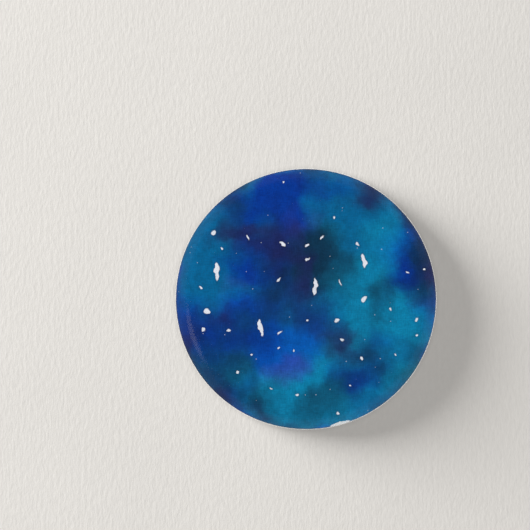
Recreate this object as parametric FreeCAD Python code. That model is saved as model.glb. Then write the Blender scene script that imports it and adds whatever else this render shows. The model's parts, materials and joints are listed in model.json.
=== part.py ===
"""Pin-back button badge, 32 mm across, in millimetres.

The badge is worn upright: its face looks along -Y, +Z is up, and the cloth lies on the plane y = 0.
Every piece is first drawn lying on its back, with the rest plane at z = 0 and the face towards +z,
and is then stood up by stand_up(). Radii are measured from the badge's own centre line.
"""

import FreeCAD, Part
import math
import os

Vector = FreeCAD.Vector

# The badge as a whole.
BADGE_RADIUS = 16.0
RIM_HEIGHT = 1.1  # widest line of the badge above its rest plane
RIM_BEND = 1.0  # radius of the rim's roll, measured on the clear film

# Tinplate shell under paper and clear film, each offset from the middle of the shell's sheet.
SHEET = 0.25
PAPER = 0.12
FILM = 0.06
LAYER_GAP = 0.01
CROWN_RADIUS = 55.0
SHOULDER_RADIUS = 3.0
SHOULDER_ENDS_DEG = 25.0  # on the rim's arc, where the shoulder runs into it
SKIRT_ENDS_DEG = -54.0  # on the rim's arc, where the shell's sheet stops
TUCK_ENDS_DEG = -12.0  # on the same arc's inner side, where the paper and film stop

# Stamped back plate.
FLOOR_RADIUS = 10.2
FLOOR_HEIGHT = 2.4  # underside of the recessed floor
WALL_RADIUS = 13.35  # outer foot of the sloped wall
STEP_HEIGHT = 0.425  # underside of the narrow flat step between wall and bead
BEAD_INNER = 14.0
BEAD_OUTER = 15.06
BEAD_BEND = 0.4
FLANGE_RADIUS = 15.45
FLANGE_HEIGHT = 1.25
FLOOR_BEND = 0.35
WALL_BEND = 0.3
SLOT_X = 9.05
SLOT_Y = -0.45
SLOT_LENGTH = 6.5
SLOT_WIDTH = 3.4

# Spring-wire pin.
WIRE_RADIUS = 0.375
WIRE_GAP = 0.05
CLASP_HEIGHT = 0.45  # middle of the clasp's wire
CLASP_OUTER_X = 10.75
CLASP_INNER_X = 7.08
CLASP_ROOT_Y = 0.25
CLASP_SHOULDER_X = 10.56
CLASP_SHOULDER_Y = -2.3
CLASP_END_X = 9.98
CLASP_END_Y = -3.92
TAIL_X = 10.5
TAIL_Y = -3.0
NEEDLE_Y = -0.95
PIVOT_X = -10.5
TIP_X = 10.5
TIP_LENGTH = 4.0
TIP_RADIUS = 0.06
TIGHT_BEND = 0.75
SHOULDER_BEND = 3.5
OUTER_LOOP_BEND = 1.15
INNER_LOOP_BEND = 1.35


def stand_up(shape):
    """Turns a shape from lying on its back to standing with its face towards -Y."""
    shape.rotate(Vector(0, 0, 0), Vector(1, 0, 0), 90)
    return shape


def on_arc(centre, radius, degrees):
    """The point of a half section (radius, height) at an angle on an arc."""
    angle = math.radians(degrees)
    return (centre[0] + radius * math.cos(angle), centre[1] + radius * math.sin(angle))


def section_point(point):
    return Vector(point[0], 0, point[1])


def section_arc(centre, radius, start, end):
    middle = on_arc(centre, radius, (start + end) / 2)
    ends = [on_arc(centre, radius, start), middle, on_arc(centre, radius, end)]
    return Part.Arc(*[section_point(p) for p in ends]).toShape()


def section_line(start, end):
    return Part.LineSegment(section_point(start), section_point(end)).toShape()


def revolved(edges):
    """A solid of revolution about the centre line from the edges of a closed half section."""
    face = Part.Face(Part.Wire(Part.__sortEdges__(edges)))
    return face.revolve(Vector(0, 0, 0), Vector(0, 0, 1), 360)


# The dome's three tangent arcs, for the middle of the shell's sheet.
RIM_CENTRE = (BADGE_RADIUS - RIM_BEND, RIM_HEIGHT)
RIM_MIDDLE = RIM_BEND - (SHEET / 2 + LAYER_GAP + PAPER + LAYER_GAP + FILM)
SHOULDER_CENTRE = on_arc(RIM_CENTRE, RIM_MIDDLE - SHOULDER_RADIUS, SHOULDER_ENDS_DEG)
CROWN_ENDS_DEG = math.degrees(math.acos(SHOULDER_CENTRE[0] / (CROWN_RADIUS - SHOULDER_RADIUS)))
CROWN_CENTRE = on_arc(SHOULDER_CENTRE, SHOULDER_RADIUS - CROWN_RADIUS, CROWN_ENDS_DEG)
SKIRT_END = on_arc(RIM_CENTRE, RIM_MIDDLE, SKIRT_ENDS_DEG)


def dome_edges(offset):
    """Crown, shoulder and curled rim, at an offset outwards from the middle of the shell's sheet."""
    return [
        section_arc(CROWN_CENTRE, CROWN_RADIUS + offset, 90, CROWN_ENDS_DEG),
        section_arc(SHOULDER_CENTRE, SHOULDER_RADIUS + offset, CROWN_ENDS_DEG, SHOULDER_ENDS_DEG),
        section_arc(RIM_CENTRE, RIM_MIDDLE + offset, SHOULDER_ENDS_DEG, SKIRT_ENDS_DEG),
    ]


def tucked_edges(offset):
    """The dome's edges, then round the shell's edge and back up inside it."""
    return dome_edges(offset) + [
        section_arc(SKIRT_END, offset, SKIRT_ENDS_DEG, SKIRT_ENDS_DEG - 180),
        section_arc(RIM_CENTRE, RIM_MIDDLE - offset, SKIRT_ENDS_DEG, TUCK_ENDS_DEG),
    ]


def apex(offset):
    return (0, CROWN_CENTRE[1] + CROWN_RADIUS + offset)


def front_shell():
    half = SHEET / 2
    skirt_edge = section_line(
        on_arc(RIM_CENTRE, RIM_MIDDLE + half, SKIRT_ENDS_DEG),
        on_arc(RIM_CENTRE, RIM_MIDDLE - half, SKIRT_ENDS_DEG),
    )
    centre_line = section_line(apex(half), apex(-half))
    return revolved(dome_edges(half) + dome_edges(-half) + [skirt_edge, centre_line])


def skin(inner, outer):
    """A sheet that covers the shell between two offsets and is tucked in behind its edge."""
    tuck_edge = section_line(
        on_arc(RIM_CENTRE, RIM_MIDDLE - inner, TUCK_ENDS_DEG),
        on_arc(RIM_CENTRE, RIM_MIDDLE - outer, TUCK_ENDS_DEG),
    )
    centre_line = section_line(apex(inner), apex(outer))
    return revolved(tucked_edges(inner) + tucked_edges(outer) + [tuck_edge, centre_line])


def filleted(corners, closed=False):
    """Edges through corners [(point, bend radius), ...], each corner rounded by a tangent arc."""
    points = [Vector(p) for p, _ in corners]
    count = len(points)
    edges = []
    last = None
    first = None
    for i in range(count):
        here, bend = points[i], corners[i][1]
        at_end = not closed and i in (0, count - 1)
        if at_end or bend == 0:
            start = end = here
        else:
            before = (points[i - 1] - here).normalize()
            after = (points[(i + 1) % count] - here).normalize()
            half_angle = before.getAngle(after) / 2
            reach = bend / math.tan(half_angle)
            start, end = here + before * reach, here + after * reach
            towards = (before + after).normalize()
            middle = here + towards * (bend / math.sin(half_angle) - bend)
        if last is not None and (start - last).Length > 1e-6:
            edges.append(Part.LineSegment(last, start).toShape())
        if start != end:
            edges.append(Part.Arc(start, middle, end).toShape())
        if first is None:
            first = start
        last = end
    if closed:
        edges.append(Part.LineSegment(last, first).toShape())
    return edges


def slot_cutter(x):
    """An obround prism through the plate, its length along x."""
    end = SLOT_WIDTH / 2
    straight = SLOT_LENGTH / 2 - end
    box = Part.makeBox(2 * straight, SLOT_WIDTH, 2 * FLOOR_HEIGHT)
    box.translate(Vector(x - straight, SLOT_Y - end, 0))
    for side in (-1, 1):
        centre = Vector(x + side * straight, SLOT_Y, 0)
        box = box.fuse(Part.makeCylinder(end, 2 * FLOOR_HEIGHT, centre))
    return box.removeSplitter()


def back_plate():
    """Flange, rolled bead, step, sloped wall and recessed floor in one sheet, with two slots."""
    half = SHEET / 2
    slope = math.atan2(FLOOR_HEIGHT - STEP_HEIGHT, WALL_RADIUS - FLOOR_RADIUS)
    shift = SHEET * math.tan(slope / 2)  # how far a wall corner moves between the sheet's faces
    underside = [
        ((0, FLOOR_HEIGHT), 0),
        ((FLOOR_RADIUS, FLOOR_HEIGHT), FLOOR_BEND),
        ((WALL_RADIUS, STEP_HEIGHT), WALL_BEND),
        ((BEAD_INNER, STEP_HEIGHT), 0),
        ((BEAD_INNER, 0), BEAD_BEND),
        ((BEAD_OUTER, 0), BEAD_BEND),
        ((BEAD_OUTER, FLANGE_HEIGHT - half), 0),
        ((FLANGE_RADIUS, FLANGE_HEIGHT - half), 0),
    ]
    upper_side = [
        ((FLANGE_RADIUS, FLANGE_HEIGHT + half), 0),
        ((BEAD_OUTER - SHEET, FLANGE_HEIGHT + half), BEAD_BEND),
        ((BEAD_OUTER - SHEET, SHEET), BEAD_BEND - SHEET),
        ((BEAD_INNER + SHEET, SHEET), BEAD_BEND - SHEET),
        ((BEAD_INNER + SHEET, STEP_HEIGHT + SHEET), 0),
        ((WALL_RADIUS + shift, STEP_HEIGHT + SHEET), WALL_BEND + SHEET),
        ((FLOOR_RADIUS + shift, FLOOR_HEIGHT + SHEET), FLOOR_BEND - SHEET),
        ((0, FLOOR_HEIGHT + SHEET), 0),
    ]
    outline = [(section_point(p), bend) for p, bend in underside + upper_side]
    plate = revolved(filleted(outline, closed=True))
    for side in (-1, 1):
        plate = plate.cut(slot_cutter(side * SLOT_X))
    return plate


def wire_along(edges):
    """Round wire swept along a chain of lines and arcs."""
    path = Part.Wire(edges)
    start = edges[0].valueAt(edges[0].FirstParameter)
    heading = edges[0].tangentAt(edges[0].FirstParameter)
    ring = Part.Wire(Part.makeCircle(WIRE_RADIUS, start, heading))
    return path.makePipeShell([ring], True, False)


HIDDEN_HEIGHT = FLOOR_HEIGHT + SHEET + WIRE_GAP + WIRE_RADIUS
NEEDLE_HEIGHT = CLASP_HEIGHT + 2 * WIRE_RADIUS + WIRE_GAP
PIVOT = Vector(PIVOT_X, NEEDLE_Y, NEEDLE_HEIGHT)


def spring_bend():
    """The last arc of the fixed wire: a hairpin from the hidden run down to just short of the pivot."""
    top = Vector(PIVOT_X, CLASP_ROOT_Y, HIDDEN_HEIGHT)
    centre = (top + PIVOT) * 0.5
    up = top - centre
    radius = up.Length
    out = Vector(-radius, 0, 0)
    whole = math.pi - (WIRE_RADIUS + WIRE_GAP) / radius
    middle, end = [centre + up * math.cos(a) + out * math.sin(a) for a in (whole / 2, whole)]
    return Part.Arc(top, middle, end).toShape()


def pin_wire():
    """Tail, clasp loop, hidden run behind the plate and the start of the spring bend."""
    route = [
        ((TAIL_X, TAIL_Y, HIDDEN_HEIGHT), 0),
        ((CLASP_OUTER_X, CLASP_ROOT_Y, HIDDEN_HEIGHT), TIGHT_BEND),
        ((CLASP_OUTER_X, CLASP_ROOT_Y, CLASP_HEIGHT), TIGHT_BEND),
        ((CLASP_SHOULDER_X, CLASP_SHOULDER_Y, CLASP_HEIGHT), SHOULDER_BEND),
        ((CLASP_END_X, CLASP_END_Y, CLASP_HEIGHT), OUTER_LOOP_BEND),
        ((CLASP_INNER_X, CLASP_END_Y, CLASP_HEIGHT), INNER_LOOP_BEND),
        ((CLASP_INNER_X, CLASP_ROOT_Y, CLASP_HEIGHT), TIGHT_BEND),
        ((CLASP_INNER_X, CLASP_ROOT_Y, HIDDEN_HEIGHT), TIGHT_BEND),
        ((PIVOT_X, CLASP_ROOT_Y, HIDDEN_HEIGHT), 0),
    ]
    return wire_along(filleted(route) + [spring_bend()])


def pin_needle():
    """Straight needle with a ball at its root, on the pivot, and a tapered point."""
    along = Vector(1, 0, 0)
    straight = TIP_X - TIP_LENGTH - PIVOT_X
    shank = Part.makeCylinder(WIRE_RADIUS, straight, PIVOT, along)
    point = Part.makeCone(
        WIRE_RADIUS, TIP_RADIUS, TIP_LENGTH, PIVOT + along * straight, along
    )
    return shank.fuse([Part.makeSphere(WIRE_RADIUS, PIVOT), point]).removeSplitter()


def main():
    paper_start = SHEET / 2 + LAYER_GAP
    film_start = paper_start + PAPER + LAYER_GAP
    pieces = {
        "front_shell": front_shell(),
        "printed_paper": skin(paper_start, paper_start + PAPER),
        "clear_film": skin(film_start, film_start + FILM),
        "back_plate": back_plate(),
        "pin_wire": pin_wire(),
        "pin_needle": pin_needle(),
    }
    os.makedirs("parts", exist_ok=True)
    for name, shape in pieces.items():
        solid = stand_up(shape.Solids[0])
        solid.exportStep(f"parts/{name}.step")
        print(name, len(shape.Solids), solid.isValid(), round(solid.Volume, 3))


if __name__ == "__main__":
    main()
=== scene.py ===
"""Looks of a 32 mm pin-back button badge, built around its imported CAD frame.

The badge stands upright with its face towards -Y, +Z is up, and the cloth's plane is y = 0. Turned
outlines are (radius, depth) pairs in millimetres, where depth is how far a point lies in front of
that plane. Everything is scaled to metres when its mesh is made.
"""

import json
import math
import random

import bmesh
import bpy
import numpy as np
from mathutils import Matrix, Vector, noise
from mathutils.geometry import delaunay_2d_cdt


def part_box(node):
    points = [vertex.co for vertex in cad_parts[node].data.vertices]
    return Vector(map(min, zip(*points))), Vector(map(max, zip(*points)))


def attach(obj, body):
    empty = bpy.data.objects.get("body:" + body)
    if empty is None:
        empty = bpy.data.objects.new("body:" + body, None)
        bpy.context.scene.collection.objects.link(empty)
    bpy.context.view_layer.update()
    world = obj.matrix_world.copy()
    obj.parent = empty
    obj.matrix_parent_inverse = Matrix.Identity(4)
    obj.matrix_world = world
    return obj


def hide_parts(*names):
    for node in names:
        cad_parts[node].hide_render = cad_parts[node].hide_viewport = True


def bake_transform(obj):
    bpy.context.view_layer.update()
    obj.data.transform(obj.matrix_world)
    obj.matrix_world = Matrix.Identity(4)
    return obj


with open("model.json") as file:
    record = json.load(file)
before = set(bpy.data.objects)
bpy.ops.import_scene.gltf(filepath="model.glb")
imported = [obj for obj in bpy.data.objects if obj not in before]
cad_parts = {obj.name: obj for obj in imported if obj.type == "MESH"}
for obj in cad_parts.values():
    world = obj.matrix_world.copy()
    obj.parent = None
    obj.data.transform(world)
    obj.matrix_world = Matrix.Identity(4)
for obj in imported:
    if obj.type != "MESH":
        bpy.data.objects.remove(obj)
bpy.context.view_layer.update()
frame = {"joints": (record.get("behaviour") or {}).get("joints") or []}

MM = 0.001  # metres in a millimetre

# The dome: three tangent arcs for the middle of the shell's sheet, and the layers over it.
BADGE_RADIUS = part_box("clear_film")[1].x / MM
RIM_BEND = 1.0
RIM_CENTRE = (BADGE_RADIUS - RIM_BEND, 1.1)
SHEET = 0.25
PAPER_START = SHEET / 2 + 0.01
PAPER_END = PAPER_START + 0.12
FILM_START = PAPER_END + 0.01
FILM_END = FILM_START + 0.06
CROWN_RADIUS = 55.0
SHOULDER_RADIUS = 3.0
SHOULDER_ENDS_DEG = 25.0
SKIRT_ENDS_DEG = -54.0
TUCK_ENDS_DEG = -12.0

# The stamped back plate.
FLOOR_RADIUS = 10.2
FLOOR_DEPTH = 2.4
WALL_RADIUS = 13.35
STEP_DEPTH = 0.425
BEAD_INNER = 14.0
BEAD_OUTER = 15.06
BEAD_BEND = 0.4
FLANGE_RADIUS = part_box("back_plate")[1].x / MM
FLANGE_DEPTH = 1.25
FLOOR_BEND = 0.35
WALL_BEND = 0.3
SLOT_CENTRES = ((9.05, -0.45), (-9.05, -0.45))
SLOT_LENGTH = 6.5
SLOT_WIDTH = 3.4
JOIN_RADIUS = 13.9  # where the triangulated middle of the plate meets its turned bead

# The spring wire.
WIRE_RADIUS = 0.375
WIRE_GAP = 0.05
CLASP_DEPTH = 0.45
NEEDLE_DEPTH = CLASP_DEPTH + 2 * WIRE_RADIUS + WIRE_GAP
HIDDEN_DEPTH = FLOOR_DEPTH + SHEET + WIRE_GAP + WIRE_RADIUS
CLASP_OUTER_X = 10.75
CLASP_INNER_X = 7.08
CLASP_ROOT_Z = 0.25
CLASP_SHOULDER = (10.56, -2.3)
CLASP_END = (9.98, -3.92)
TAIL_END = (10.5, -3.0)
TIGHT_BEND = 0.75
SHOULDER_BEND = 3.5
OUTER_LOOP_BEND = 1.15
INNER_LOOP_BEND = 1.35
NEEDLE_Z = -0.95
PIVOT_X = frame["joints"][0]["pos_m"][0] / MM
TIP_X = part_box("pin_needle")[1].x / MM
TIP_LENGTH = 4.0
TIP_RADIUS = 0.06
POINT_BLUNTNESS = 3.2  # 1 is a plain cone; more keeps the wire thick until nearer its tip

# The view: the badge is right of and below the middle of a picture 65 mm wide.
VIEW_WIDTH = 0.06495
VIEW_X = -0.00502
VIEW_Z = 0.00417
VIEW_DISTANCE = 0.35
SENSOR = 36.0
CLIP = (0.01, 10.0)

# Meshes.
MERGE_DISTANCE = 1e-8  # metres; points nearer than this become one
SHARP_DEG = 38.0  # edges bent by more than this stay sharp
BEND_STEPS = 8
TUBE_SIDES = 28
TINY = 1e-6


def on_arc(centre, radius, degrees):
    angle = math.radians(degrees)
    return (centre[0] + radius * math.cos(angle), centre[1] + radius * math.sin(angle))


def arc(centre, radius, start, end, steps):
    """Points along an arc of a half section, both ends included."""
    return [on_arc(centre, radius, start + (end - start) * i / steps) for i in range(steps + 1)]


def rounded(corners, steps=BEND_STEPS):
    """Points through corners [(point, bend radius)], each bent corner replaced by a tangent arc."""
    points = [Vector(p).to_3d() for p, _ in corners]
    line = []
    for i, here in enumerate(points):
        bend = corners[i][1]
        if bend == 0:
            line.append(here)
            continue
        before = (points[i - 1] - here).normalized()
        after = (points[i + 1] - here).normalized()
        half = before.angle(after) / 2
        reach = bend / math.tan(half)
        centre = here + (before + after).normalized() * bend / math.sin(half)
        turn = math.pi - 2 * half
        start = here + before * reach - centre
        end = here + after * reach - centre
        for j in range(steps + 1):
            a = turn * j / steps
            line.append(centre + (start * math.sin(turn - a) + end * math.sin(a)) / math.sin(turn))
    return line


def mesh_piece(name, points, faces):
    """A closed mesh object from points in millimetres, smooth but for its sharp edges."""
    mesh = bpy.data.meshes.new(name)
    mesh.from_pydata([Vector(p) * MM for p in points], [], faces)
    work = bmesh.new()
    work.from_mesh(mesh)
    bmesh.ops.remove_doubles(work, verts=work.verts, dist=MERGE_DISTANCE)
    bmesh.ops.recalc_face_normals(work, faces=work.faces)
    work.to_mesh(mesh)
    work.free()
    mesh.shade_smooth()
    mesh.set_sharp_from_angle(angle=math.radians(SHARP_DEG))
    piece = bpy.data.objects.new(name, mesh)
    bpy.context.scene.collection.objects.link(piece)
    return piece


def turned(outline, segments, shift=None):
    """Points and faces of an outline of (radius, depth) turned about the badge's centre line.

    shift(angle, index) moves one point of the outline at one angle, as (radius, depth).
    """
    points = []
    rings = []
    for index, (radius, depth) in enumerate(outline):
        ring = []
        for i in range(1 if radius < TINY else segments):
            angle = 2 * math.pi * i / segments
            more_radius, more_depth = shift(angle, index) if shift else (0, 0)
            r = radius + more_radius
            ring.append(len(points))
            points.append((r * math.cos(angle), -depth - more_depth, r * math.sin(angle)))
        rings.append(ring)
    faces = []
    for one, two in zip(rings, rings[1:]):
        for i in range(segments):
            corners = [
                one[i % len(one)],
                one[(i + 1) % len(one)],
                two[(i + 1) % len(two)],
                two[i % len(two)],
            ]
            face = list(dict.fromkeys(corners))
            if len(face) > 2:
                faces.append(face)
    return points, faces


def tube(path, radii):
    """Points and faces of a round wire along a path, closed at both ends."""
    path = np.array([tuple(p) for p in path])
    along = np.gradient(path, axis=0)
    along /= np.linalg.norm(along, axis=1)[:, None]
    side = np.cross(along[0], (0.0, 1.0, 0.0))
    points = []
    for centre, heading, radius in zip(path, along, radii):
        side = side - heading * side.dot(heading)
        side /= np.linalg.norm(side)
        other = np.cross(heading, side)
        for i in range(TUBE_SIDES):
            a = 2 * math.pi * i / TUBE_SIDES
            points.append(tuple(centre + radius * (math.cos(a) * side + math.sin(a) * other)))
    faces = [list(range(TUBE_SIDES)), list(range(len(points) - TUBE_SIDES, len(points)))]
    for k in range(len(path) - 1):
        for i in range(TUBE_SIDES):
            j = (i + 1) % TUBE_SIDES
            low, high = k * TUBE_SIDES, (k + 1) * TUBE_SIDES
            faces.append([low + i, low + j, high + j, high + i])
    return points, faces


# ---------------------------------------------------------------- turned pieces

RIM_MIDDLE = RIM_BEND - FILM_END
SHOULDER_CENTRE = on_arc(RIM_CENTRE, RIM_MIDDLE - SHOULDER_RADIUS, SHOULDER_ENDS_DEG)
CROWN_ENDS_DEG = math.degrees(math.acos(SHOULDER_CENTRE[0] / (CROWN_RADIUS - SHOULDER_RADIUS)))
CROWN_CENTRE = on_arc(SHOULDER_CENTRE, SHOULDER_RADIUS - CROWN_RADIUS, CROWN_ENDS_DEG)
SKIRT_END = on_arc(RIM_CENTRE, RIM_MIDDLE, SKIRT_ENDS_DEG)
CROWN_STEPS = 18
SHOULDER_STEPS = 10
RIM_STEPS = 22
HAIRPIN_STEPS = 12
TUCK_STEPS = 6
WRAP_SEGMENTS = 720
SHELL_SEGMENTS = 360

# The wrap's gathers. Their shape is read from noise round a ring of this radius.
PLEAT_RING = 9.0
PLEAT_SEED = 2.0
PLEAT_SCALE = 4.6
PLEAT_SHARPNESS = 3.2
BUNCH_SCALE = 0.55  # gathers come in bunches
BUNCH_OFFSET = Vector((3.1, 0.7, 5.0))
BUNCH_MIDDLE = 0.5
BUNCH_RANGE = 0.9
PLEAT_GROWS = 10  # points of the outline over which a gather deepens
PLEAT_FADES = 4  # and over which it fades again
FILM_PLEATS = 0.03  # depth of the film's gathers
PAPER_PLEATS = 0.05


def dome(offset):
    """Crown, shoulder and rim at an offset outwards from the middle of the shell's sheet."""
    crown = arc(CROWN_CENTRE, CROWN_RADIUS + offset, 90, CROWN_ENDS_DEG, CROWN_STEPS)
    shoulder = arc(
        SHOULDER_CENTRE,
        SHOULDER_RADIUS + offset,
        CROWN_ENDS_DEG,
        SHOULDER_ENDS_DEG,
        SHOULDER_STEPS,
    )
    rim = arc(RIM_CENTRE, RIM_MIDDLE + offset, SHOULDER_ENDS_DEG, SKIRT_ENDS_DEG, RIM_STEPS)
    return [(0.0, crown[0][1])] + crown[1:] + shoulder[1:] + rim[1:]


def tucked(offset):
    """The dome, then round the shell's edge and back up inside it."""
    hairpin = arc(SKIRT_END, offset, SKIRT_ENDS_DEG, SKIRT_ENDS_DEG - 180, HAIRPIN_STEPS)
    tuck = arc(RIM_CENTRE, RIM_MIDDLE - offset, SKIRT_ENDS_DEG, TUCK_ENDS_DEG, TUCK_STEPS)
    return dome(offset) + hairpin[1:] + tuck[1:]


def pleat(angle):
    """How deep the wrap's gathers are at an angle: 0 between gathers, up to 1 in one."""
    place = Vector((PLEAT_RING * math.cos(angle), PLEAT_RING * math.sin(angle), PLEAT_SEED))
    fine = 1 - abs(noise.noise(place * PLEAT_SCALE)) * PLEAT_SHARPNESS
    bunched = BUNCH_MIDDLE + BUNCH_RANGE * noise.noise(place * BUNCH_SCALE + BUNCH_OFFSET)
    return max(0.0, fine) * min(max(bunched, 0.0), 1.0)


def skin(name, inner, outer, depth_of_pleats):
    """A sheet wrapped over the shell, gathered into fine pleats where it turns in behind."""
    outside = tucked(outer)
    inside = tucked(inner)
    outline = outside + inside[::-1]
    first = CROWN_STEPS + SHOULDER_STEPS + RIM_STEPS // 2
    last = len(outside) - 1 - TUCK_STEPS
    waves = {}

    def gather(angle, index):
        if not first < index < last:
            return 0, 0
        if angle not in waves:
            waves[angle] = pleat(angle)
        before, after = outline[index - 1], outline[index + 1]
        step = math.hypot(after[0] - before[0], after[1] - before[1])
        grown = min(1.0, (index - first) / PLEAT_GROWS, (last - index) / PLEAT_FADES)
        share = math.sin(math.pi / 2 * grown)
        sink = depth_of_pleats * share * waves[angle] / step
        return (after[1] - before[1]) * sink, (before[0] - after[0]) * sink

    return mesh_piece(name, *turned(outline, WRAP_SEGMENTS, gather))


def shell_cap():
    half = SHEET / 2
    return mesh_piece("shell_cap", *turned(dome(half) + dome(-half)[::-1], SHELL_SEGMENTS))


# ---------------------------------------------------------------- back plate

PLATE_SEGMENTS = 360
FLOOR_SEGMENTS = 60  # enough inside the radius FLOOR_FLAT, where nothing bends
FLOOR_FLAT = 9.0
FLOOR_RINGS = (2.0, 4.0, 6.0, 8.0, 9.4)
STEP_RING = 13.6
WALL_ROWS = 8
WALL_MARGIN = 0.3  # from a bend to the wall's first and last rows
JOIN_MARGIN = 0.01
BEAD_STEPS = 10
DELAUNAY_TOLERANCE = 1e-7
SLOT_SPACING = 0.11
SLOT_MARGIN = 0.09  # from a slot's last row of points to the plate's own
SLOT_ROLL = 0.3  # width of the rounded-over edge round a slot
SLOT_SINK = 0.16  # how far that edge sinks
SLOT_RINGS = (0.12, 0.27, 0.45, 0.7, 1.0, 1.35)  # rows of points across that edge, over its width
ROLL_LIMIT = 0.98  # how far round its quarter circle that edge goes, over its width
CREASE_Z = -0.95
CREASE_FROM = 12.35
CREASE_TO = 13.84
CREASE_WIDTH = 0.17
CREASE_DEPTH = 0.1
CREASE_BEGINS = -0.5  # from CREASE_FROM, over its length; less than 0 is nearer the middle
CREASE_FADE = 6.0  # it fades over the last of this many parts of its length
CREASE_LIP = 0.5  # height of the raised lip beside it, over its depth
CREASE_LIP_AT = 2.2  # and how far away, over its width
CREASE_MARGIN = 0.1
CREASE_CLEAR = 0.6
CREASE_STEP = 0.06
CREASE_SPREAD = 0.55
CREASE_ROWS = 25
RIPPLE = 0.07  # unevenness of the narrow step
RIPPLE_FROM = 12.6
RIPPLE_GROWS = 0.6
RIPPLE_FADES = 0.3
RIPPLE_RING = 3
RIPPLE_SEED = 1.7


def plate_lines():
    """The plate's visible and hidden faces from its centre to JOIN_RADIUS, as depth against radius."""
    slope = math.atan2(FLOOR_DEPTH - STEP_DEPTH, WALL_RADIUS - FLOOR_RADIUS)
    shift = SHEET * math.tan(slope / 2)
    visible = rounded([
        ((0, FLOOR_DEPTH), 0),
        ((FLOOR_RADIUS, FLOOR_DEPTH), FLOOR_BEND),
        ((WALL_RADIUS, STEP_DEPTH), WALL_BEND),
        ((BEAD_INNER, STEP_DEPTH), 0),
    ])
    hidden = rounded([
        ((0, FLOOR_DEPTH + SHEET), 0),
        ((FLOOR_RADIUS + shift, FLOOR_DEPTH + SHEET), FLOOR_BEND - SHEET),
        ((WALL_RADIUS + shift, STEP_DEPTH + SHEET), WALL_BEND + SHEET),
        ((BEAD_INNER + SHEET, STEP_DEPTH + SHEET), 0),
    ])
    return [np.array([(p.x, p.y) for p in line]) for line in (visible, hidden)]


def slot_distance(points, centre):
    """How far points (x, z) lie outside a slot's edge; less than 0 inside it."""
    straight = (SLOT_LENGTH - SLOT_WIDTH) / 2
    along = np.maximum(np.abs(points[:, 0] - centre[0]) - straight, 0)
    return np.hypot(along, points[:, 1] - centre[1]) - SLOT_WIDTH / 2


def slot_ring(centre, offset):
    """Points (x, z) evenly round a slot's edge, moved outwards by an offset."""
    straight = (SLOT_LENGTH - SLOT_WIDTH) / 2
    radius = SLOT_WIDTH / 2
    around = math.ceil(math.pi * radius / SLOT_SPACING)
    across = math.ceil(2 * straight / SLOT_SPACING)
    ring = []
    for side, start in ((1, -90), (-1, 90)):
        middle = (centre[0] + side * straight, centre[1])
        ring += arc(middle, radius + offset, start, start + 180, around)
        x0, z = ring[-1]
        ring += [(x0 - side * 2 * straight * i / across, z) for i in range(1, across)]
    return ring


def plate_grid(visible):
    """Points (x, z) over the middle of the plate, and the pairs of them along the slots' edges."""
    bends = [p[0] for p in visible if FLOOR_FLAT < p[0] < JOIN_RADIUS]
    wall_from, wall_to = bends[BEND_STEPS : BEND_STEPS + 2]
    walls = list(np.linspace(wall_from + WALL_MARGIN, wall_to - WALL_MARGIN, WALL_ROWS))
    rings = [*FLOOR_RINGS, *sorted(bends + walls), STEP_RING, JOIN_RADIUS]
    points = [(0.0, 0.0)]
    for radius in rings:
        segments = PLATE_SEGMENTS if radius > FLOOR_FLAT else FLOOR_SEGMENTS
        turn = 2 * math.pi / segments
        points += [(radius * math.cos(turn * i), radius * math.sin(turn * i)) for i in range(segments)]
    points = np.array(points)
    radii = np.hypot(points[:, 0], points[:, 1])
    keep = radii > JOIN_RADIUS - TINY
    clear = np.ones(len(points), bool)
    for centre in SLOT_CENTRES:
        clear &= slot_distance(points, centre) > SLOT_ROLL * SLOT_RINGS[-1] + SLOT_MARGIN
    outwards = points[:, 0] > CREASE_FROM - CREASE_MARGIN
    creased = outwards & (abs(points[:, 1] - CREASE_Z) < CREASE_CLEAR)
    points = [tuple(p) for p in points[keep | (clear & ~creased)]]
    rows = np.linspace(-CREASE_SPREAD, CREASE_SPREAD, CREASE_ROWS)
    for x in np.arange(CREASE_FROM, CREASE_TO, CREASE_STEP):
        points += [(x, CREASE_Z + z) for z in rows]
    edges = []
    for centre in SLOT_CENTRES:
        start = len(points)
        ring = slot_ring(centre, 0)
        points += ring
        edges += [(start + i, start + (i + 1) % len(ring)) for i in range(len(ring))]
        for share in SLOT_RINGS:
            points += slot_ring(centre, SLOT_ROLL * share)
    return points, edges


def plate_depth(points, line, visible):
    """Depth of one face of the plate at points (x, z), with its rolled edges, crease and ripples."""
    radii = np.hypot(points[:, 0], points[:, 1])
    depth = np.interp(radii, line[:, 0], line[:, 1])
    if visible:
        for centre in SLOT_CENTRES:
            inwards = np.clip(1 - slot_distance(points, centre) / SLOT_ROLL, 0, 1)
            depth += SLOT_SINK * (1 - np.sqrt(1 - np.minimum(inwards, ROLL_LIMIT) ** 2))
    reach = (points[:, 0] - CREASE_FROM) / (CREASE_TO - CREASE_FROM)
    fade = np.sin(math.pi / 2 * np.clip((1 - reach) * CREASE_FADE, 0, 1)) * (reach > CREASE_BEGINS)
    across = (points[:, 1] - CREASE_Z) / CREASE_WIDTH
    lip = CREASE_LIP * np.exp(-((across - CREASE_LIP_AT) ** 2))
    depth += CREASE_DEPTH * fade * (np.exp(-across**2) - lip)
    grown = np.clip((radii - RIPPLE_FROM) / RIPPLE_GROWS, 0, 1)
    window = np.clip((JOIN_RADIUS - radii) / RIPPLE_FADES, 0, 1) * grown
    angles = np.arctan2(points[:, 1], points[:, 0])
    ring = [(RIPPLE_RING * math.cos(a), RIPPLE_RING * math.sin(a), RIPPLE_SEED) for a in angles]
    ripple = [noise.noise(Vector(place)) for place in ring]
    return depth + RIPPLE * window * np.array(ripple)


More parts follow.
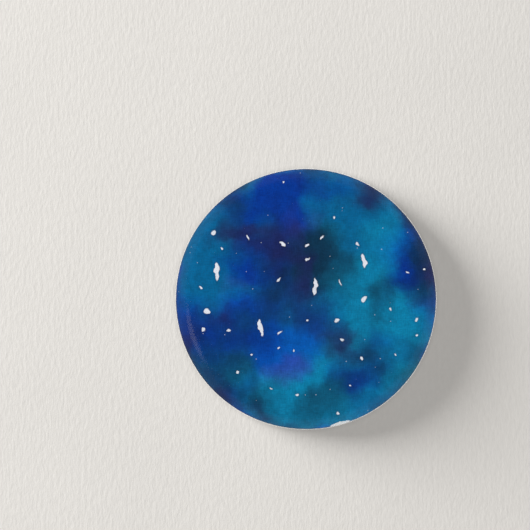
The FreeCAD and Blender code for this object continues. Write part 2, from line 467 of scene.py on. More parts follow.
def back_collet():
    """The plate: a triangulated middle with its slots cut out, joined to a turned bead."""
    visible, hidden = plate_lines()
    points, edges = plate_grid(visible)
    found = delaunay_2d_cdt([Vector(p) for p in points], edges, [], 0, DELAUNAY_TOLERANCE)
    flat = np.array([tuple(p) for p in found[0]])
    triangles = np.array([list(f) for f in found[2]])
    middles = flat[triangles].mean(1)
    solid = np.ones(len(triangles), bool)
    for centre in SLOT_CENTRES:
        solid &= slot_distance(middles, centre) > 0
    triangles = triangles[solid]
    count = len(flat)
    vertices = []
    for line, seen in ((visible, True), (hidden, False)):
        depths = plate_depth(flat, line, seen)
        vertices += [(x, -d, z) for (x, z), d in zip(flat, depths)]
    faces = [list(t) for t in triangles] + [[i + count for i in t] for t in triangles]
    uses = {}
    for triangle in triangles:
        for i in range(3):
            pair = tuple(sorted((int(triangle[i]), int(triangle[(i + 1) % 3]))))
            uses[pair] = uses.get(pair, 0) + 1
    for (a, b), used in uses.items():
        if used == 1 and math.hypot(*flat[a]) < JOIN_RADIUS - JOIN_MARGIN:
            faces.append([a, b, b + count, a + count])
    half = SHEET / 2
    outer = rounded([
        ((JOIN_RADIUS, STEP_DEPTH), 0),
        ((BEAD_INNER, STEP_DEPTH), 0),
        ((BEAD_INNER, 0), BEAD_BEND),
        ((BEAD_OUTER, 0), BEAD_BEND),
        ((BEAD_OUTER, FLANGE_DEPTH - half), 0),
        ((FLANGE_RADIUS, FLANGE_DEPTH - half), 0),
        ((FLANGE_RADIUS, FLANGE_DEPTH + half), 0),
        ((BEAD_OUTER - SHEET, FLANGE_DEPTH + half), BEAD_BEND),
        ((BEAD_OUTER - SHEET, SHEET), BEAD_BEND - SHEET),
        ((BEAD_INNER + SHEET, SHEET), BEAD_BEND - SHEET),
        ((BEAD_INNER + SHEET, STEP_DEPTH + SHEET), 0),
        ((JOIN_RADIUS, STEP_DEPTH + SHEET), 0),
    ], steps=BEAD_STEPS)
    ring_points, ring_faces = turned([(p.x, p.y) for p in outer], PLATE_SEGMENTS)
    faces += [[i + len(vertices) for i in f] for f in ring_faces]
    return mesh_piece("back_collet", vertices + ring_points, faces)


# ---------------------------------------------------------------- spring wire

WIRE_BEND_STEPS = 14
HALF_HAIRPIN_STEPS = 20
TIP_STEPS = 24
TIP_ROUND_DEG = (30, 60, 80)
LONGEST_STEP = 0.6


def at(x, z, depth):
    return Vector((x, -depth, z))


def spring_bend():
    """The hairpin from the hidden run out to the needle's root, as two equal halves of points."""
    top = at(PIVOT_X, CLASP_ROOT_Z, HIDDEN_DEPTH)
    root = at(PIVOT_X, NEEDLE_Z, NEEDLE_DEPTH)
    centre = (top + root) / 2
    up = top - centre
    out = Vector((-up.length, 0, 0))
    steps = HALF_HAIRPIN_STEPS
    angles = [math.pi * i / (2 * steps) for i in range(2 * steps + 1)]
    points = [centre + up * math.cos(a) + out * math.sin(a) for a in angles]
    return points[: steps + 1], points[steps:]


def spaced(line):
    """The same line with points added so that no step is longer than LONGEST_STEP."""
    points = [line[0]]
    for start, end in zip(line, line[1:]):
        parts = max(1, math.ceil((end - start).length / LONGEST_STEP))
        points += [start.lerp(end, i / parts) for i in range(1, parts + 1)]
    return points


def clasp_wire():
    """Tail, clasp loop, hidden run behind the plate and the first half of the spring bend."""
    route = rounded([
        (at(*TAIL_END, HIDDEN_DEPTH), 0),
        (at(CLASP_OUTER_X, CLASP_ROOT_Z, HIDDEN_DEPTH), TIGHT_BEND),
        (at(CLASP_OUTER_X, CLASP_ROOT_Z, CLASP_DEPTH), TIGHT_BEND),
        (at(*CLASP_SHOULDER, CLASP_DEPTH), SHOULDER_BEND),
        (at(*CLASP_END, CLASP_DEPTH), OUTER_LOOP_BEND),
        (at(CLASP_INNER_X, CLASP_END[1], CLASP_DEPTH), INNER_LOOP_BEND),
        (at(CLASP_INNER_X, CLASP_ROOT_Z, CLASP_DEPTH), TIGHT_BEND),
        (at(CLASP_INNER_X, CLASP_ROOT_Z, HIDDEN_DEPTH), TIGHT_BEND),
        (at(PIVOT_X, CLASP_ROOT_Z, HIDDEN_DEPTH), 0),
    ], steps=WIRE_BEND_STEPS)
    path = spaced(route[:-1] + spring_bend()[0])
    return mesh_piece("clasp_wire", *tube(path, [WIRE_RADIUS] * len(path)))


def needle_wire():
    """The second half of the spring bend, the straight needle and its ground point."""
    taper_start = TIP_X - TIP_LENGTH
    shank = spaced([at(PIVOT_X, NEEDLE_Z, NEEDLE_DEPTH), at(taper_start, NEEDLE_Z, NEEDLE_DEPTH)])
    path = spring_bend()[1] + shank[1:]
    radii = [WIRE_RADIUS] * len(path)
    for i in range(1, TIP_STEPS + 1):
        share = i / TIP_STEPS
        path.append(at(taper_start + (TIP_LENGTH - TIP_RADIUS) * share, NEEDLE_Z, NEEDLE_DEPTH))
        radii.append(WIRE_RADIUS + (TIP_RADIUS - WIRE_RADIUS) * share**POINT_BLUNTNESS)
    for degrees in TIP_ROUND_DEG:
        a = math.radians(degrees)
        path.append(at(TIP_X - TIP_RADIUS * (1 - math.sin(a)), NEEDLE_Z, NEEDLE_DEPTH))
        radii.append(TIP_RADIUS * math.cos(a))
    return mesh_piece("needle_wire", *tube(path, radii))


# ---------------------------------------------------------------- node helpers

def linear(colour):
    """An sRGB colour in bytes as linear RGBA."""
    values = []
    for byte in colour:
        c = byte / 255
        values.append(c / 12.92 if c <= 0.04045 else ((c + 0.055) / 1.055) ** 2.4)
    return (*values, 1.0)


class Nodes:
    """Short calls for building one node tree."""

    def __init__(self, tree):
        self.tree = tree
        tree.nodes.clear()

    def add(self, kind, inputs=(), **settings):
        node = self.tree.nodes.new(kind)
        for key, value in settings.items():
            setattr(node, key, value)
        for key, value in dict(inputs).items():
            if isinstance(value, bpy.types.NodeSocket):
                self.tree.links.new(value, node.inputs[key])
            else:
                node.inputs[key].default_value = value
        return node

    def math(self, operation, *values):
        return self.add("ShaderNodeMath", enumerate(values), operation=operation).outputs[0]

    def vector(self, operation, *values):
        node = self.add("ShaderNodeVectorMath", enumerate(values), operation=operation)
        return node.outputs["Value" if operation in ("LENGTH", "DOT_PRODUCT") else "Vector"]

    def scaled(self, vector, scale):
        """A vector times a plain (x, y, z)."""
        return self.vector("MULTIPLY", vector, scale)

    def remap(self, value, low, high, new_low=0.0, new_high=1.0, smooth=True):
        kind = "SMOOTHSTEP" if smooth else "LINEAR"
        inputs = {0: value, 1: low, 2: high, 3: new_low, 4: new_high}
        return self.add("ShaderNodeMapRange", inputs, interpolation_type=kind).outputs[0]

    def noise(self, vector, scale, detail=2.0, roughness=0.5, output="Fac"):
        inputs = {"Vector": vector, "Scale": scale, "Detail": detail, "Roughness": roughness}
        return self.add("ShaderNodeTexNoise", inputs).outputs[output]

    def mix(self, share, a, b, blend="MIX"):
        inputs = {0: share, 6: a, 7: b}
        node = self.add("ShaderNodeMix", inputs, data_type="RGBA", blend_type=blend)
        return node.outputs[2]

    def mix_shader(self, share, a, b):
        return self.add("ShaderNodeMixShader", {0: share, 1: a, 2: b}).outputs[0]

    def bump(self, height, strength, distance):
        inputs = {"Height": height, "Strength": strength, "Distance": distance}
        return self.add("ShaderNodeBump", inputs).outputs[0]

    def place(self):
        """The point on the piece at rest, in millimetres."""
        where = self.add("ShaderNodeTexCoord").outputs["Object"]
        return self.scaled(where, (1 / MM, 1 / MM, 1 / MM))

    def principled(self, **inputs):
        named = {key.replace("_", " "): value for key, value in inputs.items()}
        return self.add("ShaderNodeBsdfPrincipled", named).outputs[0]

    def show(self, surface):
        self.add("ShaderNodeOutputMaterial", {"Surface": surface})


def new_material(name):
    material = bpy.data.materials.new(name)
    material.use_nodes = True
    return material, Nodes(material.node_tree)


def finish_piece(piece, material, replaced):
    piece.data.materials.append(material)
    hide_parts(replaced)
    return piece


# ---------------------------------------------------------------- printed artwork

GROUND = (5, 94, 142)
AQUA = (9, 126, 168)
CERULEAN = (4, 104, 164)
SEA = (14, 122, 128)
COBALT = (3, 76, 174)
ROYAL = (3, 52, 142)
NAVY = (16, 40, 104)
VIOLET = (50, 62, 160)
PLUM = (28, 34, 84)
SLATE = (12, 68, 96)
INK = (12, 40, 66)
PAINT_WHITE = (228, 232, 243)
BARE_PAPER = (246, 245, 242)
WHITE = (1.0, 1.0, 1.0, 1.0)
STAIN = 0.05  # how strongly the bare paper of the wrap is tinted in patches
STAIN_SCALE = 0.45
RIM_PAINTED_SHADE = (-1.66, -1.4, 1.0, 0.75)  # painted shade: the print is darkened as it turns over the rim: from y, to y, tones

# Where the print misses the lower edge: x, z, half length, half width, degrees.
MISSED_SPOT = (4.35, -15.86, 1.3, 0.62, 16)
MISSED_STRENGTH = 0.72

# Heights that a full bump stands for, in metres.
PAPER_RELIEF = 0.00002
FILM_RELIEF = 0.00003
SHEET_RELIEF = 0.00003
WIRE_RELIEF = 0.00001
STAGE_RELIEF = 0.00006

# Watercolour washes in the order they are laid: pigment, size of its patches in millimetres, the noise
# where it begins and where it covers fully, strength. Each is cut from its own slice of the noise.
WASHES = (
    (CERULEAN, 13.0, 0.42, 0.68, 0.7),
    (SEA, 11.0, 0.5, 0.72, 0.7),
    (AQUA, 12.0, 0.47, 0.68, 0.9),
    (COBALT, 14.0, 0.48, 0.66, 0.9),
    (ROYAL, 12.0, 0.5, 0.66, 1.0),
    (NAVY, 10.0, 0.5, 0.7, 0.8),
    (SLATE, 10.0, 0.5, 0.7, 0.8),
    (VIOLET, 8.0, 0.58, 0.76, 0.6),
    (INK, 8.0, 0.52, 0.72, 0.8),
    (PLUM, 7.0, 0.54, 0.74, 0.85),
)
WASH_DETAIL = 2.0
WASH_ROUGHNESS = 0.45
SLICE = 37.0  # millimetres from one wash's slice of the noise to the next
SLICE_TILT = (0.7, 0.5)  # radians; a slanting slice hides the noise's own grid

# How edges wander: patches of noise per millimetre, how far in millimetres, detail of the noise.
BROAD_RUNS = (0.3, 2.6, 4.0)
FINE_RUNS = (1.3, 0.9, 5.0)
MARK_EDGES = (2.6, 0.25, 2.0)
MARK_SHAPES = (1.0, 0.8, 1.0)
MISSED_EDGES = (3.2, 0.45, 4.0)
RUNS_ROUGHNESS = 0.55

# Noise of the pigment and the paper under it: scale, detail, roughness.
POOLED = (0.9, 6.0, 0.62)
GRAINS = (5.0, 4.0, 0.7)
TOOTH_UPRIGHT = (8.0, 1.0, 1.2)  # stretch of the paper's upright lines
TOOTH_LEVEL = (1.2, 1.0, 8.0)
PAPER_FIBRES = (6.0, 6.0, 2.2)

# White paint: how many marks, half length from and to, half width from and to, degrees from and to.
SPATTER = (
    (4, 0.85, 1.1, 0.2, 0.27, 75, 110),
    (4, 0.3, 0.36, 0.28, 0.33, 0, 180),
    (9, 0.26, 0.4, 0.08, 0.12, 0, 180),
    (23, 0.12, 0.21, 0.1, 0.18, 0, 180),
)
SPATTER_SEED = 11
SPATTER_REACH = 15.2
SPATTER_GAP = 1.5
HALO = 0.3  # width of the darker blue round a mark
PAINT_EDGE = 0.05  # half the softness of a mark's edge
MIST_SCALE = 0.75
MIST_DOT = (0.055, 0.035, 0.0, 0.5)  # where a faint dot of mist begins, where it is full, its strengths

# Behind this depth the sheet turns over the rim, and its own coordinates go on growing at this rate.
RIM_TURNS_DEPTH = 2.4
RIM_STRETCH = 0.6

# Where the print ends behind the rim: scale and detail of its raggedness, how ragged, where, softness.
PRINT_END_NOISE = (1.6, 3.0)
PRINT_END_RAGGED = 0.3
PRINT_END_Y = -1.05
PRINT_END_SOFT = 0.05


def spatter():
    """Dots, dashes and dabs scattered by chance: x, z, half length, half width, degrees."""
    dice = random.Random(SPATTER_SEED)
    marks = []
    for count, *ranges in SPATTER:
        wanted = len(marks) + count
        while len(marks) < wanted:
            angle = dice.uniform(0, 2 * math.pi)
            radius = SPATTER_REACH * math.sqrt(dice.random())
            shape = [dice.uniform(low, high) for low, high in zip(ranges[::2], ranges[1::2])]
            x, z = radius * math.cos(angle), radius * math.sin(angle)
            gaps = [
                math.hypot(x - mark[0], z - mark[1]) - SPATTER_GAP * (1 + mark[2] * shape[0] * 2)
                for mark in marks
            ]
            if radius + shape[0] < SPATTER_REACH and min(gaps, default=1) > 0:
                marks.append((x, z, *shape))
    return marks


def ellipse(nodes, place, x, z, half_length, half_width, degrees):
    """Distance from an ellipse's centre over the whole of its size: 1 on its edge."""
    inputs = {
        "Vector": place,
        "Location": (x, 0, z),
        "Rotation": (0, -math.radians(degrees), 0),
        "Scale": (half_length, 1, half_width),
    }
    local = nodes.add("ShaderNodeMapping", inputs, vector_type="TEXTURE").outputs[0]
    return nodes.vector("LENGTH", local)


def picture_plane(nodes, place):
    """The printed sheet's own flat coordinates (x, 0, z), which carry on round the rim."""
    x, y, z = nodes.add("ShaderNodeSeparateXYZ", {0: place}).outputs
    behind = nodes.math("MAXIMUM", nodes.math("ADD", y, RIM_TURNS_DEPTH), 0.0)
    stretch = nodes.math("MULTIPLY_ADD", behind, RIM_STRETCH / BADGE_RADIUS, 1.0)
    wide = nodes.math("MULTIPLY", x, stretch)
    high = nodes.math("MULTIPLY", z, stretch)
    return nodes.add("ShaderNodeCombineXYZ", {0: wide, 2: high}).outputs[0], y


def wandered(nodes, place, scale, amount, detail):
    """Coordinates pushed about by noise, so that edges run as wet paint does."""
    drift = nodes.noise(place, scale, detail, RUNS_ROUGHNESS, "Color")
    drift = nodes.vector("SUBTRACT", drift, (0.5, 0.5, 0.5))
    return nodes.vector("ADD", place, nodes.scaled(drift, (amount, 0.0, amount)))


def wash_slice(nodes, place, number):
    """The place where one wash reads the noise."""
    inputs = {
        "Vector": place,
        "Location": (SLICE * number, 0.0, 0.0),
        "Rotation": (*SLICE_TILT, 1.0 + number),
    }
    return nodes.add("ShaderNodeMapping", inputs).outputs[0]


def artwork(nodes, flat):
    """A generic night sky: blue and teal watercolour left to chance, under spattered white paint."""
    wet = wandered(nodes, flat, *BROAD_RUNS)
    wet = wandered(nodes, wet, *FINE_RUNS)
    colour = linear(GROUND)
    for number, (pigment, size, begins, covers, strength) in enumerate(WASHES):
        place = wash_slice(nodes, wet, number)
        amount = nodes.noise(place, 1 / size, WASH_DETAIL, WASH_ROUGHNESS)
        colour = nodes.mix(nodes.remap(amount, begins, covers, 0.0, strength), colour, linear(pigment))
    pooled = nodes.noise(flat, *POOLED)
    colour = nodes.mix(1.0, colour, nodes.remap(pooled, 0.25, 0.75, 0.8, 1.22, False), "MULTIPLY")
    grains = nodes.noise(flat, *GRAINS)
    upright = nodes.noise(nodes.scaled(flat, TOOTH_UPRIGHT), 1.0)
    level = nodes.noise(nodes.scaled(flat, TOOTH_LEVEL), 1.0)
    tooth = nodes.math("ADD", grains, nodes.math("ADD", upright, level))
    colour = nodes.mix(1.0, colour, nodes.remap(tooth, 1.1, 1.9, 0.78, 1.22, False), "MULTIPLY")
    painted = wandered(nodes, flat, *MARK_EDGES)
    painted = wandered(nodes, painted, *MARK_SHAPES)
    edge = BADGE_RADIUS  # farther than any mark's halo reaches
    for mark in spatter():
        reach = ellipse(nodes, painted, *mark)
        size = math.sqrt(mark[2] * mark[3])
        edge = nodes.math("MINIMUM", edge, nodes.math("MULTIPLY_ADD", reach, size, -size))
    halo = nodes.remap(edge, 0.0, HALO, 0.8, 1.0)
    colour = nodes.mix(1.0, colour, halo, "MULTIPLY")
    cells = nodes.add("ShaderNodeTexVoronoi", {"Vector": flat, "Scale": MIST_SCALE})
    mist = nodes.remap(cells.outputs["Distance"], *MIST_DOT)
    body = nodes.remap(nodes.noise(flat, 1.3, 3.0), 0.3, 0.7, 0.84, 1.0, False)
    paint = nodes.mix(1.0, linear(PAINT_WHITE), body, "MULTIPLY")
    cover = nodes.math("MAXIMUM", nodes.remap(edge, PAINT_EDGE, -PAINT_EDGE), mist)
    return nodes.mix(cover, colour, paint)


def printed_material():
    material, nodes = new_material("printed_watercolour")
    place = nodes.place()
    flat, y = picture_plane(nodes, place)
    colour = artwork(nodes, flat)
    ragged = wandered(nodes, flat, *MISSED_EDGES)
    missed = nodes.remap(ellipse(nodes, ragged, *MISSED_SPOT), 1.08, 0.94, 0.0, MISSED_STRENGTH)
    uneven = nodes.noise(flat, *PRINT_END_NOISE)
    rough_end = nodes.math("MULTIPLY_ADD", uneven, PRINT_END_RAGGED, PRINT_END_Y)
    bled_out = nodes.remap(y, nodes.math("SUBTRACT", rough_end, PRINT_END_SOFT), rough_end)
    bare = nodes.math("MAXIMUM", missed, bled_out)
    # Painted shade: the print is darkened towards the edge of the rim.
    colour = nodes.mix(1.0, colour, nodes.remap(y, *RIM_PAINTED_SHADE), "MULTIPLY")
    fibres = nodes.noise(nodes.scaled(place, PAPER_FIBRES), 1.0, 5.0, 0.6)
    tone = nodes.remap(fibres, 0.3, 0.7, 0.93, 1.0, False)
    stain = nodes.noise(place, STAIN_SCALE, 3.0, output="Color")
    stain = nodes.mix(STAIN, WHITE, nodes.scaled(stain, (2.0, 2.0, 2.0)))
    paper = nodes.mix(1.0, linear(BARE_PAPER), tone, "MULTIPLY")
    paper = nodes.mix(1.0, paper, stain, "MULTIPLY")
    colour = nodes.mix(bare, colour, paper)
    normal = nodes.bump(fibres, 0.25, PAPER_RELIEF)
    roughness = nodes.remap(fibres, 0.3, 0.7, 0.62, 0.78, False)
    nodes.show(nodes.principled(
        Base_Color=colour, Roughness=roughness, Normal=normal, Specular_IOR_Level=0.03
    ))
    return material


FILM_IOR = 1.5
FILM_RUBS = (1.0, 1.0, 0.35)  # stretch of the film's faint upright rubs
RUB_HEIGHT = 0.04  # their height over that of its waves


def film_material():
    """Clear film: mirrors more at a slant and lets the rest through."""
    material, nodes = new_material("clear_satin_film")
    place = nodes.place()
    rubbed = nodes.noise(nodes.scaled(place, FILM_RUBS), 3.0, 5.0, 0.6)
    waves = nodes.noise(place, 0.7)
    roughness = nodes.remap(rubbed, 0.3, 0.7, 0.12, 0.2, False)
    height = nodes.math("ADD", waves, nodes.math("MULTIPLY", rubbed, RUB_HEIGHT))
    normal = nodes.bump(height, 0.35, FILM_RELIEF)
    mirror = nodes.add("ShaderNodeFresnel", {"IOR": FILM_IOR, "Normal": normal}).outputs[0]
    clear = nodes.add("ShaderNodeBsdfTransparent").outputs[0]
    gloss_inputs = {"Color": WHITE, "Roughness": roughness, "Normal": normal}
    gloss = nodes.add("ShaderNodeBsdfGlossy", gloss_inputs).outputs[0]
    backface = nodes.add("ShaderNodeNewGeometry").outputs["Backfacing"]
    share = nodes.math("MULTIPLY", mirror, nodes.math("SUBTRACT", 1.0, backface))
    nodes.show(nodes.mix_shader(share, clear, gloss))
    return material


# ---------------------------------------------------------------- metals

# Painted shade: the shell's tone is dark for its closed inside, as seen through the slots.
SHELL_PAINTED_SHADE_TONE = (112, 106, 102)
# Painted shade: the floor's tone is darkened for the dark surroundings its metal would mirror.
FLOOR_PAINTED_SHADE_TONE = (122, 122, 125)
WALL_TONE = (202, 200, 196)
STEP_TONE = (186, 184, 179)
# Painted highlight: the bead's tone, also used at the fold, is paler than the rest of the tinplate.
BEAD_PAINTED_HIGHLIGHT_TONE = (240, 238, 234)
WIRE_TONE = (188, 188, 187)
NICK_TONE = (226, 226, 222)
FOLD_INSET = 0.05  # how far inside FLOOR_RADIUS the middle of the fold's painted highlight lies; the fold is also smoother there
FOLD_EDGES = (0.22, 0.08, 0.0, 0.75)  # where it begins and is full, from its middle, and its strengths
FLOOR_BLEND = 0.1  # how far each side of a radius one tone gives way to the next
STEP_BLEND = 0.15
BEAD_BLEND = 0.25  # outside JOIN_RADIUS only
ROLLING_LINES = (7.0, 0.3, 0.3)  # stretch of the sheet's upright lines
HAIRLINES = (22.0, 0.8, 0.8)
LINES_SHARE = 0.6
POLISH = 0.85  # how much of the grain burnishing takes away
SHEET_NICKS = (0.74, 0.8)
DRAWING_LINES = (0.5, 9.0, 9.0)  # stretch of the wire's own lines


def brushed(name, tone, low, high, highlight_tone=None):
    """Tin-plated sheet with upright rolling lines; given a tone for its bead, the bead and fold get that
    paler tone as a painted highlight, with less roughness and grain.
    """
    material, nodes = new_material(name)
    place = nodes.place()
    lines = nodes.noise(nodes.scaled(place, ROLLING_LINES), 1.0, 4.0, 0.62)
    fine = nodes.noise(nodes.scaled(place, HAIRLINES), 1.0, 3.0, 0.6)
    cloud = nodes.noise(place, 0.5, 3.0)
    pits = nodes.noise(place, 5.0, 2.0, 0.4)
    fine_share = nodes.math("MULTIPLY", fine, 1 - LINES_SHARE)
    grain = nodes.math("ADD", nodes.math("MULTIPLY", lines, LINES_SHARE), fine_share)
    shade = nodes.remap(grain, 0.32, 0.68, 0.72, 1.14, False)
    shade = nodes.math("MULTIPLY", shade, nodes.remap(cloud, 0.3, 0.7, 0.9, 1.06, False))
    nick = nodes.remap(pits, *SHEET_NICKS)
    roughness = nodes.remap(grain, 0.3, 0.7, low, high, False)
    base = linear(tone)
    if highlight_tone is not None:
        x, _, z = nodes.add("ShaderNodeSeparateXYZ", {0: place}).outputs
        radius = nodes.vector("LENGTH", nodes.add("ShaderNodeCombineXYZ", {0: x, 2: z}).outputs[0])
        wall = nodes.remap(radius, FLOOR_RADIUS - FLOOR_BLEND, FLOOR_RADIUS + FLOOR_BLEND)
        base = nodes.mix(wall, base, linear(WALL_TONE))
        step = nodes.remap(radius, WALL_RADIUS - STEP_BLEND, WALL_RADIUS + STEP_BLEND)
        base = nodes.mix(step, base, linear(STEP_TONE))
        # The bead and the fold get the paler tone as a painted highlight, and less roughness and grain.
        bead = nodes.remap(radius, JOIN_RADIUS, JOIN_RADIUS + BEAD_BLEND)
        from_fold = nodes.math("ABSOLUTE", nodes.math("SUBTRACT", radius, FLOOR_RADIUS - FOLD_INSET))
        fold = nodes.remap(from_fold, *FOLD_EDGES)
        polish_and_highlight = nodes.math("MAXIMUM", bead, fold)
        base = nodes.mix(polish_and_highlight, base, linear(highlight_tone))
        roughness = nodes.math("MULTIPLY", roughness, nodes.remap(polish_and_highlight, 0.0, 1.0, 1.0, 0.5))
        keep = nodes.math("SUBTRACT", 1.0, nodes.math("MULTIPLY", polish_and_highlight, POLISH))
        shade = nodes.math("MULTIPLY_ADD", nodes.math("SUBTRACT", shade, 1.0), keep, 1.0)
        grain = nodes.math("MULTIPLY", grain, keep)
    colour = nodes.mix(1.0, base, shade, "MULTIPLY")
    colour = nodes.mix(nodes.math("MULTIPLY", nick, 0.5), colour, linear(NICK_TONE))
    height = nodes.math("MULTIPLY_ADD", nick, -0.6, grain)
    nodes.show(nodes.principled(
        Base_Color=colour,
        Metallic=1.0,
        Roughness=roughness,
        Normal=nodes.bump(height, 0.5, SHEET_RELIEF),
    ))
    return material


def wire_material():
    """Bright nickel-plated spring wire with faint drawing lines and a few dull rubs."""
    material, nodes = new_material("nickel_spring_wire")
    place = nodes.place()
    drawn = nodes.noise(nodes.scaled(place, DRAWING_LINES), 1.0, 4.0, 0.6)
    rubs = nodes.noise(place, 1.8, 3.0)
    shade = nodes.remap(drawn, 0.3, 0.7, 0.9, 1.05, False)
    colour = nodes.mix(1.0, linear(WIRE_TONE), shade, "MULTIPLY")
    dull = nodes.math("MULTIPLY", nodes.remap(rubs, 0.5, 0.75), 0.1)
    roughness = nodes.math("ADD", nodes.remap(drawn, 0.3, 0.7, 0.08, 0.13, False), dull)
    nodes.show(nodes.principled(
        Base_Color=colour,
        Metallic=1.0,
        Roughness=roughness,
        Normal=nodes.bump(drawn, 0.3, WIRE_RELIEF),
    ))
    return material


# ---------------------------------------------------------------- stage and light

# The stage's own sizes are in metres.
STAGE_SOLID = 0.055
STAGE_ENDS = 0.078
STAGE_BEHIND = 0.00002
STAGE_RINGS = 12
STAGE_SEGMENTS = 72
STAGE_COLOUR = (0.82, 0.803, 0.778, 1.0)
STAGE_FIBRES = (2.4, 2.4, 0.9)
PAINTED_CONTACT_SHADOW = (-0.8, 0.7, 0.7, 1.0)  # painted contact shadow: the paper is darker where the badge rests: millimetres from its rim, tones


def paper_material():
    """Matt off-white paper with a painted contact shadow round the badge; it fades out towards its edge
    and isn't seen from behind.
    """
    material, nodes = new_material("stage_paper")
    place = nodes.place()
    fibres = nodes.noise(nodes.scaled(place, STAGE_FIBRES), 1.0, 5.0, 0.6)
    cloud = nodes.remap(nodes.noise(place, 0.06), 0.3, 0.7, 0.985, 1.01, False)
    tone = nodes.math("MULTIPLY", nodes.remap(fibres, 0.3, 0.7, 0.965, 1.015, False), cloud)
    from_rim = nodes.math("SUBTRACT", nodes.vector("LENGTH", place), BADGE_RADIUS)
    # Painted contact shadow: the paper is darkened round the badge's rim.
    tone = nodes.math("MULTIPLY", tone, nodes.remap(from_rim, *PAINTED_CONTACT_SHADOW))
    colour = nodes.mix(1.0, STAGE_COLOUR, tone, "MULTIPLY")
    surface = nodes.principled(
        Base_Color=colour,
        Roughness=0.9,
        Normal=nodes.bump(fibres, 0.5, STAGE_RELIEF),
        Specular_IOR_Level=0.15,
    )
    away = nodes.vector("LENGTH", nodes.vector("SUBTRACT", place, (VIEW_X / MM, 0, VIEW_Z / MM)))
    shown = nodes.remap(away, STAGE_ENDS / MM, STAGE_SOLID / MM)
    backface = nodes.add("ShaderNodeNewGeometry").outputs["Backfacing"]
    shown = nodes.math("MULTIPLY", shown, nodes.math("SUBTRACT", 1.0, backface))
    clear = nodes.add("ShaderNodeBsdfTransparent").outputs[0]
    nodes.show(nodes.mix_shader(shown, clear, surface))
    return material


def paper_stage():
    """The sheet of paper that the badge's back lies against."""
    points = [(VIEW_X, STAGE_BEHIND, VIEW_Z)]
    for ring in range(1, STAGE_RINGS + 1):
        for i in range(STAGE_SEGMENTS):
            x, z = on_arc((VIEW_X, VIEW_Z), STAGE_ENDS * ring / STAGE_RINGS, 360 * i / STAGE_SEGMENTS)
            points.append((x, STAGE_BEHIND, z))
    faces = []
    for i in range(STAGE_SEGMENTS):
        j = (i + 1) % STAGE_SEGMENTS
        faces.append([0, 1 + i, 1 + j])
        for ring in range(1, STAGE_RINGS):
            low, high = 1 + (ring - 1) * STAGE_SEGMENTS, 1 + ring * STAGE_SEGMENTS
            faces.append([low + i, high + i, high + j, low + j])
    mesh = bpy.data.meshes.new("paper_stage")
    mesh.from_pydata(points, [], faces)
    mesh.materials.append(paper_material())
    stage = bpy.data.objects.new("paper_stage", mesh)
    bpy.context.scene.collection.objects.link(stage)
    stage.visible_diffuse = False
    stage.visible_glossy = False
    stage.visible_shadow = False
    return stage


# What shiny surfaces mirror, by degrees from straight behind the badge (+Y): a pale middle, a bright
# ring, a dim surround and a dark front. Each row is where a change starts and ends, and by how much.
MIRRORED_START = 1.0
MIRRORED_CHANGES = (
    (12, 22, 0.4),
    (34, 48, -1.24),
    (100, 120, -0.12),
)
# A soft pale patch at the left, a little low and in front, for the film to mirror: direction, degrees
# where it is full, degrees where it ends, strength.
FRONT_PATCH = ((-0.83, -0.49, -0.28), 3, 15, 0.9)
AMBIENT = 0.46
STUDIO_WARMTH = (1.0, 0.985, 0.965, 1.0)
BACKDROP = (0.735, 0.72, 0.70, 1.0)
LIGHT_COLOUR = (1.0, 0.99, 0.97)


def studio_world():
    """A plain pale surround to the eye, even light for matt surfaces, and a studio for shiny ones."""
    world = bpy.data.worlds.new("studio")
    bpy.context.scene.world = world
    world.use_nodes = True
    world.cycles.sampling_method = "NONE"
    nodes = Nodes(world.node_tree)
    heading = nodes.add("ShaderNodeTexCoord").outputs["Generated"]
    heading = nodes.vector("NORMALIZE", heading)
    away = nodes.math("ARCCOSINE", nodes.vector("DOT_PRODUCT", heading, (0, 1, 0)))
    away = nodes.math("DEGREES", away)
    mirrored = MIRRORED_START
    for first, last, change in MIRRORED_CHANGES:
        mirrored = nodes.math("ADD", mirrored, nodes.remap(away, first, last, 0.0, change))
    direction, full, ends, strength = FRONT_PATCH
    facing = nodes.vector("DOT_PRODUCT", heading, tuple(Vector(direction).normalized()))
    inside = (math.cos(math.radians(ends)), math.cos(math.radians(full)))
    mirrored = nodes.math("ADD", mirrored, nodes.remap(facing, *inside, 0.0, strength))
    path = nodes.add("ShaderNodeLightPath").outputs
    light = nodes.math("MULTIPLY", path["Is Glossy Ray"], nodes.math("SUBTRACT", mirrored, AMBIENT))
    light = nodes.math("ADD", light, AMBIENT)
    warm = nodes.mix(1.0, STUDIO_WARMTH, light, "MULTIPLY")
    colour = nodes.mix(path["Is Camera Ray"], warm, BACKDROP)
    background = nodes.add("ShaderNodeBackground", {"Color": colour}).outputs[0]
    nodes.add("ShaderNodeOutputWorld", {"Surface": background})


def soft_light(name, place, size, power, lit, mirrored=False):
    """A round soft light aimed at the badge, which lights only the objects in lit."""
    data = bpy.data.lights.new(name, "AREA")
    data.shape = "DISK"
    data.size = size
    data.energy = power
    data.color = LIGHT_COLOUR
    light = bpy.data.objects.new(name, data)
    light.location = place
    light.rotation_euler = (-Vector(place)).to_track_quat("-Z", "Y").to_euler()
    light.visible_glossy = mirrored
    bpy.context.scene.collection.objects.link(light)
    receivers = bpy.data.collections.new(name + "_lights")
    for piece in lit:
        receivers.objects.link(piece)
    light.light_linking.receiver_collection = receivers


# Soft lights: place and size in metres, power in watts. The first lights only the stage.
STAGE_LIGHT = ("sheet_key", (-0.76, -0.13, 0.34), 0.54, 21.0)
BADGE_LIGHTS = (
    ("face_key", (-0.30, -0.46, 0.24), 0.26, 1.1),
    ("face_fill", (0.34, -0.5, -0.1), 0.3, 0.5),
    ("back_key", (-0.22, 0.38, 0.30), 0.16, 1.4),
    ("back_fill", (0.34, 0.30, -0.20), 0.2, 1.1),
)

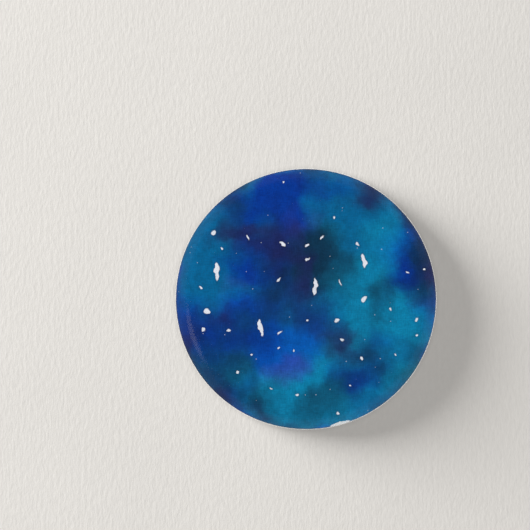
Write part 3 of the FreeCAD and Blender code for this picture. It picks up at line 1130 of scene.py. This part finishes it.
# Round panels that only the metal mirrors: direction, angular radius in degrees, brightness.
PANEL_DISTANCE = 0.6
PANELS = (
    ((-0.64, 0.44, 0.64), 29, 1.9),
    ((0.85, 0.44, 0.3), 30, 1.3),
    ((0.0, 0.44, 0.9), 26, 0.9),
    ((0.45, 0.44, -0.78), 22, 1.0),
)

# Soft lights round the badge, a little in front of it, which brighten only its wrapped rim.
RIM_LIGHTS = 4
RIM_LIGHT_DISTANCE = 0.5
RIM_LIGHT_FORWARD = 0.12
RIM_LIGHT_SIZE = 0.4
RIM_LIGHT_POWER = 1.0


def lights(wrapped, metal, stage):
    soft_light(*STAGE_LIGHT, [stage])
    for settings in BADGE_LIGHTS:
        soft_light(*settings, wrapped + metal)
    for number in range(RIM_LIGHTS):
        x, z = on_arc((0, 0), RIM_LIGHT_DISTANCE, 360 * (number + 0.5) / RIM_LIGHTS)
        place = (x, -RIM_LIGHT_FORWARD, z)
        soft_light(f"rim_{number}", place, RIM_LIGHT_SIZE, RIM_LIGHT_POWER, wrapped)
    for number, (direction, degrees, brightness) in enumerate(PANELS):
        place = Vector(direction).normalized() * PANEL_DISTANCE
        radius = PANEL_DISTANCE * math.tan(math.radians(degrees))
        power = brightness * (math.pi * radius) ** 2
        soft_light(f"panel_{number}", place, 2 * radius, power, metal, mirrored=True)


def camera():
    data = bpy.data.cameras.new("camera")
    data.sensor_width = SENSOR
    data.lens = SENSOR * VIEW_DISTANCE / VIEW_WIDTH
    data.clip_start, data.clip_end = CLIP
    view = bpy.data.objects.new("camera", data)
    view.location = (VIEW_X, -VIEW_DISTANCE - RIM_CENTRE[1] * MM, VIEW_Z)
    view.rotation_euler = (math.radians(90), 0, 0)
    bpy.context.scene.collection.objects.link(view)
    bpy.context.scene.camera = view


# ---------------------------------------------------------------- the badge

def build_badge():
    film = finish_piece(
        skin("film_cover", FILM_START, FILM_END, FILM_PLEATS),
        film_material(), "clear_film",
    )
    paper = finish_piece(
        skin("paper_print", PAPER_START, PAPER_END, PAPER_PLEATS),
        printed_material(), "printed_paper",
    )
    # The shell's dark tone is painted shade.
    shell = finish_piece(
        shell_cap(), brushed("shell_sheet", SHELL_PAINTED_SHADE_TONE, 0.3, 0.45),
        "front_shell",
    )
    # The plate's darker floor is painted shade; its paler bead and fold are a painted highlight.
    plate = finish_piece(
        back_collet(), brushed("back_sheet", FLOOR_PAINTED_SHADE_TONE, 0.24, 0.38, BEAD_PAINTED_HIGHLIGHT_TONE),
        "back_plate",
    )
    nickel = wire_material()
    clasp = finish_piece(clasp_wire(), nickel, "pin_wire")
    for piece in (film, paper, shell, plate, clasp):
        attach(piece, "badge")
        piece.visible_diffuse = False  # so that the lit back doesn't glow on the stage in front
    needle = finish_piece(needle_wire(), nickel, "pin_needle")
    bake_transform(needle)
    return [film, paper], [shell, plate, clasp, needle]


bpy.context.scene.view_settings.view_transform = "Standard"
camera()
studio_world()
wrapped, metal = build_badge()
lights(wrapped, metal, paper_stage())
